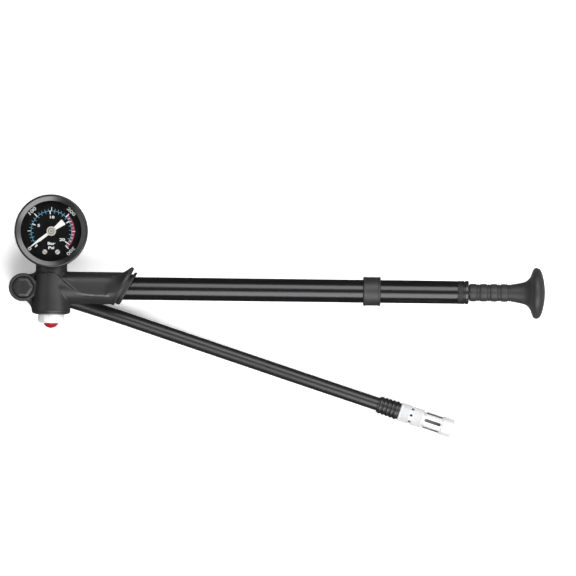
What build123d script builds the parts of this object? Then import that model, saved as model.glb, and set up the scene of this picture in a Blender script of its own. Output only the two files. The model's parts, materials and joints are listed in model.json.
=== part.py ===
from build123d import *
import math
import os

# Hand pump for suspension shocks, lying flat with its gauge facing up.
# All sizes are millimetres. Every function builds its piece in the pump's working frame:
# +X runs along the barrel from the head to the palm handle, +Y points from the bleed button to the
# gauge, +Z points out of the gauge face, and zero is where the barrel's axis crosses the column's axis.
# PLACE moves the working frame so that the origin is the bottom centre of the pump without its hose.

# ---- driving dimensions -------------------------------------------------------------------------
COLUMN_R = 10.6          # upper part of the head's column
CUP_R = 13.05            # flared foot of the column
CUP_Y = -18.3            # flat underside of the column
BACK_Z = -10.2           # flat back shared by the column, the sleeve and the gauge
SLEEVE_R = 10.9          # moulded sleeve that holds the barrel
LEAN = math.radians(28.7)  # slant of the sleeve's open end
BOSS_X = -19.1           # axis of the hose swivel
BOSS_R = 9.5
BOSS_Z = 6.5             # front of the boss
BOLT_SEAT_Z = 2.2
BOLT_FLANGE_Z = 4.9      # top of the round flange under the bolt's six-sided head
BOLT_TOP_Z = 7.3
BOLT_POCKET_R = 7.5
BOLT_R = 3.5
RUN_FIT = 0.05           # radial clearance of parts that turn or slide

BARREL_R = 7.75
BARREL_BORE = 6.35
BARREL_X0 = 17.6
BARREL_X1 = 274.7
END_X = 282.1            # outer face of the barrel's end cap
ROD_R = 3.5
PISTON_X0 = 18.6
PISTON_X1 = 30.0
HANDLE_X = 282.4
GRIP_END_X = 333.8
GRIP_R = 17.3
CLIP_X0 = 210.8
CLIP_X1 = 222.6
CLIP_R = 9.85

GAUGE_Y = 38.0
BEZEL_R = 24.7
BEZEL_Z = 17.5
CASE_R = 22.6
CASE_BORE = 21.4
DIAL_Z = 10.4            # front of the dial plate
LENS_Z = 15.4            # front of the lens

TABLE_Z = -21.4          # surface that the pump lies on
HOSE_Z = -15.0           # height at which the hose leaves its swivel
HOSE_R = 4.5
REST_Z = TABLE_Z + HOSE_R
NECK_LENGTH = 12.0       # from the swivel's axis to the start of the hose
CRADLE_R = 4.75          # inside of the parking hook on the clip

NUT_R = 8.8
NUT_Y = -24.0
BUTTON_R = 4.9
BUTTON_Y = -27.4
BUTTON_FLOOR = -25.4     # inner face of the hollow button, which the stem and spring meet
SEAT_X = 13.0            # face of the check valve's seat

MODULE = 0.25
PINION_TEETH = 12
SECTOR_TEETH = 72
CENTRES = MODULE * (PINION_TEETH + SECTOR_TEETH) / 2
GAUGE_SWEEP = 263.0      # pointer travel in degrees
TAIL_LENGTH = 4.2
POINTER_ANGLE = 217.6    # where the pointer rests, anticlockwise from +X

CENTRE_X = (GRIP_END_X + BOSS_X - BOSS_R) / 2
CENTRE_Y = (GAUGE_Y + BEZEL_R + BUTTON_Y) / 2
PLACE = Location((-CENTRE_X, -CENTRE_Y, -TABLE_Z))

# Route of the hose: out of the swivel's neck, down to the table and up to the level of the chuck.
HOSE_BEND = (30.0, -14.1, HOSE_Z)
HOSE_ROUTE = [
    HOSE_BEND,
    (80.0, -30.5, REST_Z + 0.05),
    (135.0, -48.37, REST_Z),
    (185.0, -64.62, HOSE_Z),
    (222.0, -76.5, HOSE_Z),
]
NECK_HEADING = math.atan2(HOSE_BEND[1], HOSE_BEND[0] - BOSS_X)
CHUCK_HEADING = math.atan2(
    HOSE_ROUTE[-1][1] - HOSE_ROUTE[-2][1], HOSE_ROUTE[-1][0] - HOSE_ROUTE[-2][0]
)
HOSE_START = (
    BOSS_X + NECK_LENGTH * math.cos(NECK_HEADING),
    NECK_LENGTH * math.sin(NECK_HEADING),
    HOSE_Z,
)
CHUCK = Location(HOSE_ROUTE[-1], (0, 0, math.degrees(CHUCK_HEADING)))

# Stations along the chuck, measured from the end of the hose.
FERRULE_END = 15.2
COLLAR_0 = 15.35
COLLAR_1 = 31.8
COLLAR_R = 6.4
VENT_U = 23.6
FLUTE_0 = 33.0
FLUTE_1 = 44.9
FLUTE_R = 5.8
RING_R = 6.35
CHUCK_END = 53.4
VALVE_THREAD_R = 3.85
VALVE_THREAD_0 = 45.5    # where the threaded wall ends and the gasket's pocket begins


# ---- shape helpers ------------------------------------------------------------------------------
def outline(points):
    return make_face(Polyline(*points, close=True))


def about_x(points):
    """Solid turned about X from (x, radius) points."""
    return revolve(outline(points), Axis.X, 360)


def about_y(points):
    """Solid turned about Y from (radius, y) points."""
    return revolve(outline(points), Axis.Y, 360)


def about_z(points):
    """Solid turned about Z from (radius, z) points."""
    return revolve(Plane.XZ * outline(points), Axis.Z, 360)


def disc_x(x0, x1, r, bore=0.0):
    return about_x([(x0, bore), (x1, bore), (x1, r), (x0, r)])


def disc_y(y0, y1, r, bore=0.0):
    return about_y([(bore, y0), (r, y0), (r, y1), (bore, y1)])


def disc_z(z0, z1, r, bore=0.0):
    return about_z([(bore, z0), (r, z0), (r, z1), (bore, z1)])


def block(x0, x1, y0, y1, z0, z1):
    return Pos((x0 + x1) / 2, (y0 + y1) / 2, (z0 + z1) / 2) * Box(x1 - x0, y1 - y0, z1 - z0)


def at_gauge(shape):
    return Pos(0, GAUGE_Y, 0) * shape


def at_boss(shape):
    return Pos(BOSS_X, 0, 0) * shape


def spring(radius, wire_r, length, turns):
    """Open coil spring along +Z from zero, closed end to closed end."""
    path = Helix((length - 2 * wire_r) / turns, length - 2 * wire_r, radius, (0, 0, wire_r))
    section = Plane(path @ 0, z_dir=path % 0) * Circle(wire_r)
    return sweep(section, path=path, is_frenet=True)


def o_ring(mean_r, wire_r):
    return Torus(mean_r, wire_r)


# ---- head ---------------------------------------------------------------------------------------
def column_profile():
    """Half outline of the foot: flat base, rounded edge and a flare that narrows upwards."""
    base = Polyline((0, CUP_Y), (9.0, CUP_Y), (12.4, CUP_Y + 0.9), (CUP_R, CUP_Y + 2.1), (CUP_R, -12.5))
    flare = Bezier((CUP_R, -12.5), (CUP_R, -3.0), (11.3, 2.0), (11.2, 13.0))
    top = Polyline((11.2, 13.0), (0, 13.0), (0, CUP_Y))
    return make_face(base + flare + top)


def shoulder_region():
    """Everything below the shoulder line that arches over the column and runs down along the sleeve."""
    line = Spline(
        (-10.5, 8.6), (-6.0, 9.6), (-0.2, 10.1), (4.7, 8.5), (8.4, 4.9), (14.2, -0.3), (18.9, -4.0), (27.0, -4.9),
        tangents=[(1, 0.25), (1, 0)],
    )
    rest = Polyline((27.0, -4.9), (70, -4.9), (70, -30), (-40, -30), (-40, 8.6), (-10.5, 8.6))
    return extrude(Plane.XY.offset(-20) * make_face(line + rest), 40)


def oblique_oval(along, half_length, half_width, centre):
    """Oval on the slanted end's plane, `along` millimetres past the lip's own plane."""
    across = (math.sin(LEAN), math.cos(LEAN), 0)
    normal = (math.cos(LEAN), -math.sin(LEAN), 0)
    lip_x = 54.3 - 14.6 * math.tan(LEAN)
    origin = (lip_x + along * normal[0], along * normal[1], 0)
    on_axis = (lip_x + along / math.cos(LEAN), 0, 0)
    offset = (Vector(*on_axis) - Vector(*origin)).dot(Vector(*across))
    plane = Plane(origin=origin, x_dir=across, z_dir=normal)
    return plane * Pos(offset + centre, 0) * Ellipse(half_length, half_width)


def sleeve_body():
    """Barrel sleeve: a round lower half, a flattened upper front and a slanted double lip."""
    whole = disc_x(0, 66, SLEEVE_R)
    flat_z = 9.4
    upper = whole - Rot(-4.5, 0, 0) * block(-1, 70, -20, 20, flat_z - 0.15, 20)
    body = (whole & shoulder_region()) + upper
    past_end = oblique_oval(5.3, 60, 60, 0)
    body -= extrude(past_end, 40)
    flare = loft([
        oblique_oval(-6.0, 12.43, 10.9, 0),
        oblique_oval(-2.4, 12.85, 11.1, 0.35),
        oblique_oval(-0.6, 14.1, 11.7, 1.75),
        oblique_oval(0.0, 14.5, 11.9, 2.1),
    ])
    rim = extrude(oblique_oval(0.0, 14.5, 11.9, 2.1), 2.0)
    groove = extrude(oblique_oval(2.0, 60, 60, 0), 1.5) - extrude(oblique_oval(2.0, 11.3, 9.9, 0), 1.5)
    return body - groove + flare + rim


def swivel_boss():
    boss = disc_z(BACK_Z, BOSS_Z, BOSS_R)
    boss = fillet(boss.edges().sort_by(Axis.Z)[-1], 0.8)
    web = make_face(
        ThreePointArc((BOSS_X + 2.0, 9.28), (-13.2, 9.3), (-9.6, 12.6))
        + Polyline((-9.6, 12.6), (0, 12.6), (0, -16.5), (-12.9, -16.5))
        + ThreePointArc((-12.9, -16.5), (-14.3, -11.9), (BOSS_X + 2.0, -9.28))
        + Line((BOSS_X + 2.0, -9.28), (BOSS_X + 2.0, 9.28))
    )
    return at_boss(boss) + extrude(Plane.XY.offset(BACK_Z) * web, 2.0 - BACK_Z)


def head_body():
    foot = revolve(column_profile(), Axis.Y, 360)
    column = disc_y(-5, 25, COLUMN_R)
    head = (foot & shoulder_region()) + column + sleeve_body() + swivel_boss()
    head &= block(-60, 80, -40, 60, BACK_Z, 40)
    head -= at_gauge(disc_z(-20, 9.5, CASE_R + RUN_FIT))
    head -= at_gauge(disc_z(9.4, 30, BEZEL_R + RUN_FIT))
    head -= disc_y(3.0, 30, 4.9)
    head -= disc_y(-8, 4, 2.0)
    head -= disc_y(-20, -10, 6.05)
    head -= disc_y(-10.5, -6, 4.0)
    head -= disc_x(16.0, 70, BARREL_R + RUN_FIT)
    head -= disc_x(6.5, 16.5, 5.0)
    head -= disc_x(0, 7, 1.6)
    head -= disc_x(BOSS_X, 0, 1.2)
    head -= at_boss(disc_z(-30, 10, BOLT_R + RUN_FIT))
    head -= at_boss(disc_z(BOLT_SEAT_Z, 30, BOLT_POCKET_R))
    return head


# ---- pressure gauge -----------------------------------------------------------------------------
def gauge_case():
    cup = about_z([
        (0, BACK_Z), (CASE_R - 1.2, BACK_Z), (CASE_R, BACK_Z + 1.2), (CASE_R, 11.5),
        (CASE_BORE, 11.5), (CASE_BORE, BACK_Z + 1.2), (0, BACK_Z + 1.2),
    ])
    return at_gauge(cup) - disc_y(10, 20, 4.9)


def gauge_bezel():
    return at_gauge(about_z([
        (CASE_R + 0.02, 9.5), (BEZEL_R - 0.5, 9.5), (BEZEL_R, 10.0), (BEZEL_R, 16.4), (BEZEL_R - 0.35, 17.2),
        (BEZEL_R - 0.9, BEZEL_Z), (BEZEL_R - 1.2, BEZEL_Z), (20.35, 16.1), (20.35, LENS_Z), (CASE_R + 0.02, LENS_Z),
    ]))


def gauge_lens():
    return at_gauge(disc_z(LENS_Z - 1.8, LENS_Z, CASE_R - 0.1))


def lens_gasket():
    return at_gauge(disc_z(11.5, LENS_Z - 1.8, CASE_R - 0.1, 21.0))


def gauge_dial():
    dial = disc_z(DIAL_Z - 0.8, DIAL_Z, CASE_BORE - 0.1, 1.5)
    for side in (-1, 1):
        dial -= Pos(side * 4.3, -14.0, 0) * disc_z(DIAL_Z - 2, DIAL_Z + 2, 0.8)
    return at_gauge(dial)


def dial_screws():
    """Two slotted screws that hold the dial to its posts."""
    screws = []
    for side in (-1, 1):
        screw = disc_z(DIAL_Z, DIAL_Z + 0.7, 1.65) + disc_z(DIAL_Z - 2.8, DIAL_Z, 0.78)
        screw -= Rot(0, 0, 40 * side) * block(-2, 2, -0.2, 0.2, DIAL_Z + 0.35, DIAL_Z + 1)
        screws.append(at_gauge(Pos(side * 4.3, -14.0, 0) * screw))
    return Compound(children=screws)


def tube_arc(start, sweep_angle, half_width, z0, z1, bore=0.0):
    """Flattened tube bent to a 17 mm arc about the gauge's axis; start and sweep are in degrees."""
    section = block(17 - half_width, 17 + half_width, -0.01, 0.01, z0, z1).faces().sort_by(Axis.Y)[-1]
    arc = revolve(section, Axis.Z, sweep_angle)
    if bore:
        middle = (z0 + z1) / 2
        hollow = block(17 - bore, 17 + bore, -0.01, 0.01, middle - 2.4, middle + 2.4)
        arc -= revolve(hollow.faces().sort_by(Axis.Y)[-1], Axis.Z, sweep_angle)
    return Rot(0, 0, start) * arc


def gauge_stem():
    """Brass socket: a threaded shank in the column, a block in the case and the tube's root."""
    inside = block(-6, 6, -22, -16.2, -4, 4) & disc_z(-4, 4, CASE_BORE - 0.05)
    root = tube_arc(240, 15, 1.6, -7.6, -0.9)
    socket = at_gauge(inside + root)
    shank = disc_y(4.0, 17.5, 4.86) & at_gauge(disc_z(-8, 8, 34.2) - disc_z(-9, 9, 20))
    air = disc_y(3.0, 19.5, 1.2)
    return socket + shank - air


def stem_washer():
    return disc_y(3.0, 4.0, 4.86, 2.2)


def bourdon_tube():
    return at_gauge(tube_arc(-32, 272, 1.0, -7.2, -1.2, 0.35))


def tube_tip():
    lug = tube_arc(-36, 4, 1.15, -7.35, -1.05)
    return at_gauge(lug)


def plate_outline():
    return outline([
        (-3.8, -20), (3.8, -20), (3.8, -13), (8.2, -8), (8.2, 5), (-8.2, 5), (-8.2, -8), (-3.8, -13),
    ])


def movement_base():
    """Rear plate of the movement with its two pillars."""
    plate = extrude(Plane.XY.offset(-5.05) * plate_outline(), 1.0)
    for side in (-1, 1):
        plate += Pos(side * 6.5, 3.2, 0) * disc_z(-4.3, 4.0, 1.2)
    plate -= disc_z(-6, 6, 0.6 + RUN_FIT)
    plate -= Pos(0, -CENTRES, 0) * disc_z(-6, 6, 0.6 + RUN_FIT)
    return at_gauge(plate)


def movement_bridge():
    """Front plate of the movement with the two posts that carry the dial."""
    plate = extrude(Plane.XY.offset(4.02) * plate_outline(), 1.0)
    plate += block(-6.4, 6.4, -17, -12, 4.02, 5.02)
    plate -= disc_z(-6, 6, 0.6 + RUN_FIT)
    plate -= Pos(0, -CENTRES, 0) * disc_z(-6, 6, 0.6 + RUN_FIT)
    for side in (-1, 1):
        plate += Pos(side * 4.3, -14.0, 0) * disc_z(4.8, DIAL_Z - 0.8, 1.7)
        plate -= Pos(side * 4.3, -14.0, 0) * disc_z(DIAL_Z - 3, DIAL_Z, 0.8)
    return at_gauge(plate)


def involute_half_angle(radius, pitch_r, teeth, backlash):
    """Half the angle that a tooth takes at that radius."""
    pressure = math.radians(20)
    base_r = pitch_r * math.cos(pressure)
    roll = math.acos(min(1.0, base_r / radius))
    at_pitch = math.pi / (2 * teeth) - backlash / (2 * pitch_r)
    return at_pitch + (math.tan(pressure) - pressure) - (math.tan(roll) - roll)


def tooth_points(teeth, addendum, angles):
    """Outline of one gear's teeth, anticlockwise, for the given tooth centre angles in degrees."""
    pitch_r = MODULE * teeth / 2
    base_r = pitch_r * math.cos(math.radians(20))
    root_r = pitch_r - 1.3 * MODULE
    tip_r = pitch_r + addendum * MODULE
    flank_r0 = max(base_r, root_r)
    radii = [flank_r0 + (tip_r - flank_r0) * step / 4 for step in range(5)]
    points = []
    for angle in angles:
        middle = math.radians(angle)
        low = involute_half_angle(flank_r0, pitch_r, teeth, 0.05)
        side = [(r, involute_half_angle(r, pitch_r, teeth, 0.05)) for r in radii]
        if root_r < flank_r0:
            side.insert(0, (root_r, low))
        tooth = [(r, middle - a) for r, a in side] + [(r, middle + a) for r, a in reversed(side)]
        points += [(r * math.cos(a), r * math.sin(a)) for r, a in tooth]
    return points


def pinion_arbor():
    """Arbor of the pointer with its twelve-tooth pinion, in mesh with the sector at rest."""
    pitch = 360 / PINION_TEETH
    teeth = tooth_points(PINION_TEETH, 1.0, [-90 + pitch * (k + 0.5) for k in range(PINION_TEETH)])
    gear = extrude(Plane.XY.offset(-2.4) * outline(teeth), 2.6)
    return at_gauge(gear + disc_z(-4.9, 12.4, 0.6))


def sector_gear():
    """Toothed sector on its pivot, with a tail below that the link pulls."""
    pitch = 360 / SECTOR_TEETH
    centres = [90 + pitch * k for k in range(-11, 3)]
    teeth = tooth_points(SECTOR_TEETH, 0.6, centres)
    plate = extrude(Plane.XY.offset(-1.6) * outline([(0, 0)] + teeth), 1.0)
    plate += disc_z(-1.6, -0.6, 1.9)
    half_sweep = GAUGE_SWEEP * PINION_TEETH / SECTOR_TEETH / 2
    tail = block(-0.8, 0.8, -TAIL_LENGTH, 0, -1.6, -0.6) + Pos(0, -TAIL_LENGTH, 0) * disc_z(-1.6, -0.6, 0.95)
    plate += Rot(0, 0, -half_sweep) * tail
    plate -= disc_z(-3, 1, 0.6)
    plate += Pos(*tail_pin()) * disc_z(-1.6, 0.3, 0.35)
    return at_gauge(Pos(0, -CENTRES, 0) * plate)


def tail_pin():
    """Centre of the sector's tail pin from the sector's pivot, at rest."""
    angle = math.radians(-90 - GAUGE_SWEEP * PINION_TEETH / SECTOR_TEETH / 2)
    return (TAIL_LENGTH * math.cos(angle), TAIL_LENGTH * math.sin(angle))


def sector_arbor():
    return at_gauge(Pos(0, -CENTRES, 0) * disc_z(-4.9, 4.9, 0.6))


def movement_link():
    """Thin link from the sector's tail to the tip of the Bourdon tube."""
    x0, y0 = tail_pin()
    y0 -= CENTRES
    x1, y1 = 13.2, -10.9
    length = math.hypot(x1 - x0, y1 - y0)
    turn = math.degrees(math.atan2(y1 - y0, x1 - x0))
    bar = block(0, length, -0.5, 0.5, -0.5, 0.1)
    eyes = disc_z(-0.5, 0.1, 0.95) + Pos(length, 0, 0) * disc_z(-0.5, 0.1, 0.95)
    holes = disc_z(-1, 1, 0.35 + RUN_FIT) + Pos(length, 0, 0) * disc_z(-1, 1, 0.4)
    return at_gauge(Pos(x0, y0, 0) * Rot(0, 0, turn) * (bar + eyes - holes))


def pointer():
    """Needle with a tapered point, a small bulge, and a paddle tail that balances it."""
    tip = outline([(2.5, -0.95), (8.6, -0.9), (9.4, -1.1), (10.2, -0.9), (18.4, -0.12),
                   (18.4, 0.12), (10.2, 0.9), (9.4, 1.1), (8.6, 0.9), (2.5, 0.95)])
    tail = outline([(-2.5, -1.1), (-6.0, -1.5), (-10.0, -2.15), (-10.4, -1.7), (-10.4, 1.7), (-10.0, 2.15),
                    (-6.0, 1.5), (-2.5, 1.1)])
    needle = extrude(Plane.XY.offset(11.4) * (tip + tail + Circle(3.0)), 0.5)
    needle -= disc_z(11, 13, 0.6)
    return at_gauge(Rot(0, 0, POINTER_ANGLE) * needle)


def pointer_hub():
    hub = about_z([(0, 11.9), (3.2, 11.9), (3.2, 12.5), (2.9, 12.8), (2.1, 12.8), (1.9, 12.6),
                   (0.7, 12.6), (0.5, 12.95), (0, 13.0)])
    return at_gauge(hub - disc_z(11, 12.4, 0.6))


# ---- barrel, piston and handle ------------------------------------------------------------------
def barrel_tube():
    return disc_x(BARREL_X0, BARREL_X1, BARREL_R, BARREL_BORE)


def barrel_o_ring():
    return disc_x(16.0, BARREL_X0, BARREL_R - 0.05, BARREL_BORE + 0.05)


def barrel_end_cap():
    """Screwed end cap: a spigot in the barrel, a knurled ring, a fine groove and a plain ring."""
    return about_x([
        (262.0, 4.7), (262.0, 6.3), (BARREL_X1, 6.3), (BARREL_X1, 7.7), (275.0, 7.95), (278.8, 7.95), (279.1, 7.7),
        (279.1, 7.35), (279.7, 7.35), (279.7, 7.7), (280.0, 7.9), (281.6, 7.9), (END_X, 7.4), (END_X, 4.7),
    ])


def rod_bush():
    return disc_x(262.0, END_X - 0.4, 4.68, ROD_R + RUN_FIT)


def piston():
    body = disc_x(PISTON_X0, PISTON_X1, 6.28)
    groove = disc_x(22.0, 24.2, 7.0, 5.0)
    return body - groove - disc_x(21.0, PISTON_X1, 2.02)


def piston_seal():
    return disc_x(22.05, 24.15, BARREL_BORE - 0.02, 5.03)


def piston_rod():
    return disc_x(PISTON_X1, 318.0, ROD_R) + disc_x(21.2, PISTON_X1, 2.0)


def handle_core():
    """Rigid insert: a hub screwed onto the rod and a disc that stiffens the palm pad."""
    hub = disc_x(283.2, 322.0, 4.8)
    disc = about_x([(322.0, 0), (322.0, 4.8), (325.6, 6.5), (326.8, 13.2), (330.0, 13.2), (330.0, 0)])
    return hub + disc - disc_x(280, 318.0, ROD_R + 0.01)


def palm_grip():
    """Soft grip: four crowned rings along the neck, then a flare into the mushroom pad."""
    stations = [HANDLE_X, 288.6, 295.7, 302.6, 309.7]
    edge = Polyline((HANDLE_X, 0), (HANDLE_X, 5.75))
    for x0, x1 in zip(stations, stations[1:]):
        edge += ThreePointArc((x0, 5.75), ((x0 + x1) / 2, 6.1), (x1, 5.75))
    edge += Spline((309.7, 5.75), (317.0, 6.86), (321.0, 8.1), (323.7, 10.9), (325.0, 14.4),
                   (327.7, GRIP_R), (330.4, 15.9), (331.9, 13.0), (333.3, 6.0), (GRIP_END_X, 0),
                   tangents=[(1, 0.02), (0, -1)])
    edge += Line((GRIP_END_X, 0), (HANDLE_X, 0))
    grip = revolve(make_face(edge), Axis.X, 360)
    return grip - handle_core() - disc_x(280, 318, ROD_R + 0.01)


def hose_clip():
    """Band on the barrel with two raised borders, and a hook behind that the hose parks in."""
    band = about_x([
        (CLIP_X0, BARREL_R + 0.01), (CLIP_X1, BARREL_R + 0.01), (CLIP_X1, CLIP_R - 0.6), (CLIP_X1 - 0.6, CLIP_R),
        (CLIP_X1 - 1.4, CLIP_R), (CLIP_X1 - 1.6, CLIP_R - 0.2), (CLIP_X0 + 1.6, CLIP_R - 0.2),
        (CLIP_X0 + 1.4, CLIP_R), (CLIP_X0 + 0.6, CLIP_R), (CLIP_X0, CLIP_R - 0.6),
    ])
    hook = Pos(0, 0, HOSE_Z) * disc_x(CLIP_X0, CLIP_X1, CRADLE_R + 1.3)
    hook += block(CLIP_X0, CLIP_X1, -4.5, 0, HOSE_Z - CRADLE_R - 1.3, HOSE_Z + CRADLE_R)
    hook += block(CLIP_X0, CLIP_X1, -4.5, 5.5, HOSE_Z + 2, -8.6)
    hook -= Pos(0, 0, HOSE_Z) * disc_x(CLIP_X0 - 1, CLIP_X1 + 1, CRADLE_R)
    hook -= block(CLIP_X0 - 1, CLIP_X1 + 1, -12, 0, HOSE_Z - CRADLE_R, HOSE_Z + CRADLE_R)
    return band + (hook - disc_x(CLIP_X0 - 1, CLIP_X1 + 1, BARREL_R + 0.01))


# ---- check valve and bleed valve ----------------------------------------------------------------
def valve_seat():
    return disc_x(SEAT_X, 16.0, 4.98, 1.5)


def check_poppet():
    """Disc that closes the seat, with a short stem that guides its spring."""
    return disc_x(SEAT_X - 1.6, SEAT_X, 2.8) + disc_x(SEAT_X - 3.2, SEAT_X - 1.6, 1.4)


def check_spring():
    return Pos(6.5, 0, 0) * Rot(0, 90, 0) * spring(2.0, 0.22, SEAT_X - 1.6 - 6.5, 4)


def bleed_nut():
    """Plated ring nut under the column, with a recess that guides the button."""
    nut = about_y([
        (0, NUT_Y), (NUT_R - 1.4, NUT_Y), (NUT_R - 0.4, NUT_Y + 0.5), (NUT_R, NUT_Y + 1.6), (NUT_R, CUP_Y - 0.3),
        (NUT_R - 0.3, CUP_Y), (6.0, CUP_Y), (6.0, -10.0), (0, -10.0),
    ])
    return nut - disc_y(NUT_Y - 1, -19.4, BUTTON_R + RUN_FIT) - disc_y(-20, -9, 1.8)


def bleed_button():
    """Domed red button, hollow behind for its spring."""
    dome_height = 2.8
    dome_r = (BUTTON_R ** 2 + dome_height ** 2) / (2 * dome_height)
    dome = Pos(0, BUTTON_Y + dome_r, 0) * Sphere(dome_r)
    body = disc_y(BUTTON_Y - 1, -21.8, BUTTON_R) & (dome + disc_y(BUTTON_Y + dome_height, -20, BUTTON_R))
    return body - disc_y(BUTTON_FLOOR, -21, 3.6)


def bleed_stem():
    """Stem from the button to the poppet plate above the nut."""
    return disc_y(BUTTON_FLOOR, -9.4, 1.2) + disc_y(-9.4, -8.6, 3.0)


def bleed_seal():
    return disc_y(-10.0, -9.4, 3.0, 1.9)


def bleed_spring():
    return Pos(0, BUTTON_FLOOR, 0) * Rot(-90, 0, 0) * spring(2.6, 0.28, -19.4 - BUTTON_FLOOR, 4)


# ---- hose swivel --------------------------------------------------------------------------------
def swivel_bolt():
    """Hollow bolt with a flanged six-sided head, two cross holes and a groove for its clip."""
    head = extrude(Plane.XY.offset(BOLT_SEAT_Z) * RegularPolygon(6.35, 6, major_radius=False), 6)
    head &= about_z([
        (0, 2.0), (6.95, 2.0), (6.95, BOLT_TOP_Z - 0.6), (6.1, BOLT_TOP_Z), (0, BOLT_TOP_Z),
    ])
    flange = disc_z(BOLT_SEAT_Z, BOLT_FLANGE_Z, BOLT_POCKET_R - 0.1)
    bolt = head + flange + disc_z(TABLE_Z, BOLT_SEAT_Z, BOLT_R)
    bolt -= disc_z(HOSE_Z - 1, 0.8, 1.2)
    bolt -= disc_x(0, 5, 1.2)
    bolt -= Pos(0, 0, HOSE_Z) * Rot(0, 0, math.degrees(NECK_HEADING)) * disc_x(0, 5, 1.2)
    bolt -= disc_z(-20.7, -19.7, 5, 2.9)
    for z in bolt_ring_heights():
        bolt -= disc_z(z - 0.5, z + 0.5, 5, 2.6)
    return at_boss(bolt)


def bolt_ring_heights():
    return [-4.0, -12.0, -18.0]


def bolt_o_rings():
    return Compound(children=[at_boss(Pos(0, 0, z) * o_ring(3.07, 0.43)) for z in bolt_ring_heights()])


def swivel_circlip():
    clip = disc_z(-20.65, -19.75, 5.6, 2.92) - Rot(0, 0, 90) * block(0, 8, -1.6, 1.6, -22, -18)
    return at_boss(clip)


def swivel_fitting():
    """Ring that turns on the bolt, with a neck that the hose grows out of."""
    ring = about_z([(0, -19.7), (6.8, -19.7), (7.3, -19.2), (7.3, -10.8), (6.8, -10.3), (0, -10.3)])
    neck = Rot(0, 0, math.degrees(NECK_HEADING)) * disc_x(0, NECK_LENGTH, HOSE_R)
    duct = Rot(0, 0, math.degrees(NECK_HEADING)) * disc_x(0, NECK_LENGTH + 1, 1.2)
    fitting = ring + Pos(0, 0, HOSE_Z) * neck - Pos(0, 0, HOSE_Z) * duct
    return at_boss(fitting - disc_z(-30, 0, BOLT_R + RUN_FIT))


def hose():
    """The hose as one plain tube, with every bend as wide as its two runs allow."""
    points = [Vector(*p) for p in [HOSE_START] + HOSE_ROUTE]
    radii = []
    for before, corner, after in zip(points, points[1:], points[2:]):
        half_turn = math.radians((corner - before).get_angle(after - corner)) / 2
        shorter = min((corner - before).length, (after - corner).length)
        radii.append(0.45 * shorter / math.tan(half_turn))
    path = FilletPolyline(*points, radius=radii)
    tube = sweep(Plane(path @ 0, z_dir=path % 0) * Circle(HOSE_R), path=path)
    print("hose length", round(path.length, 1), "bend radii", [round(r) for r in radii])
    print("hose volume", round(tube.volume), "against", round(math.pi * HOSE_R ** 2 * path.length))
    return tube


# ---- chuck at the end of the hose ---------------------------------------------------------------
def chuck_ferrule():
    """Rubber strain relief with five raised ribs."""
    points = [(0, 2.6), (0, 5.3), (0.4, 5.7)]
    rib = 2.75
    for k in range(5):
        x = 0.9 + k * rib
        r = 5.8 + 0.07 * k
        points += [(x, r - 0.25), (x + 0.35, r + 0.1), (x + 1.75, r + 0.1), (x + 2.1, r - 0.25)]
    points += [(FERRULE_END, 5.8), (FERRULE_END, 2.6)]
    return CHUCK * about_x(points)


def chuck_stem():
    """Hollow spindle from the hose to the pin: a barb, a spindle, a stop flange and a nose."""
    stem = about_x([
        (0.5, 1.0), (0.5, 2.58), (FERRULE_END, 2.58), (FERRULE_END, 3.2), (22.0, 3.2), (22.0, 4.3), (24.0, 4.3),
        (24.0, 2.5), (38.0, 2.5), (38.0, 1.0),
    ])
    return CHUCK * (stem - disc_x(33.0, 34.2, 4, 1.7))


def stem_o_ring():
    return CHUCK * Pos(33.6, 0, 0) * Rot(0, 90, 0) * o_ring(2.12, 0.4)


def valve_pin():
    """Pin that opens the tyre-type valve, with a fluted shank pressed into the stem."""
    return CHUCK * (disc_x(34.5, 45.0, 0.85) + disc_x(34.5, 38.0, 0.98))


def grip_collar():
    """Knurled collar with a ring of eight vent holes, captive on the spindle."""
    collar = about_x([
        (COLLAR_0, 3.25), (COLLAR_0, 5.9), (15.85, COLLAR_R), (22.3, COLLAR_R), (22.7, 6.0), (24.5, 6.0),
        (24.9, COLLAR_R), (31.3, COLLAR_R), (COLLAR_1, 5.9), (COLLAR_1, 5.27), (24.1, 5.27), (21.9, 4.4),
        (21.9, 3.25),
    ])
    for k in range(8):
        hole = Pos(VENT_U, 0, 0) * Rot(45 * k, 0, 0) * Pos(0, 0, 4) * Cylinder(0.8, 8, align=(
            Align.CENTER, Align.CENTER, Align.MIN))
        collar -= hole
    return CHUCK * collar


def seal_carrier():
    """Tube that carries the gasket and slides on the stem's nose."""
    return CHUCK * disc_x(28.4, 43.9, 4.13, 2.56)


def valve_gasket():
    return CHUCK * disc_x(43.9, 45.4, 3.9, 1.4)


def valve_sleeve():
    """Sleeve that screws onto the valve: a plain skirt, six long flutes and a smooth end ring."""
    sleeve = about_x([
        (27.4, 4.2), (27.4, 5.2), (FLUTE_0, 5.2), (FLUTE_0 + 0.3, FLUTE_R), (FLUTE_1, FLUTE_R), (45.3, RING_R - 0.5),
        (45.8, RING_R), (52.4, RING_R), (CHUCK_END, RING_R - 0.9), (CHUCK_END, 4.3),
        (CHUCK_END - 0.6, VALVE_THREAD_R), (VALVE_THREAD_0, VALVE_THREAD_R), (VALVE_THREAD_0, 4.2),
    ])
    for k in range(6):
        groove = Pos(0, 0, FLUTE_R + 0.25) * disc_x(FLUTE_0 + 0.7, FLUTE_1 - 0.3, 1.1)
        sleeve -= Rot(60 * k, 0, 0) * groove
    return CHUCK * sleeve


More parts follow.
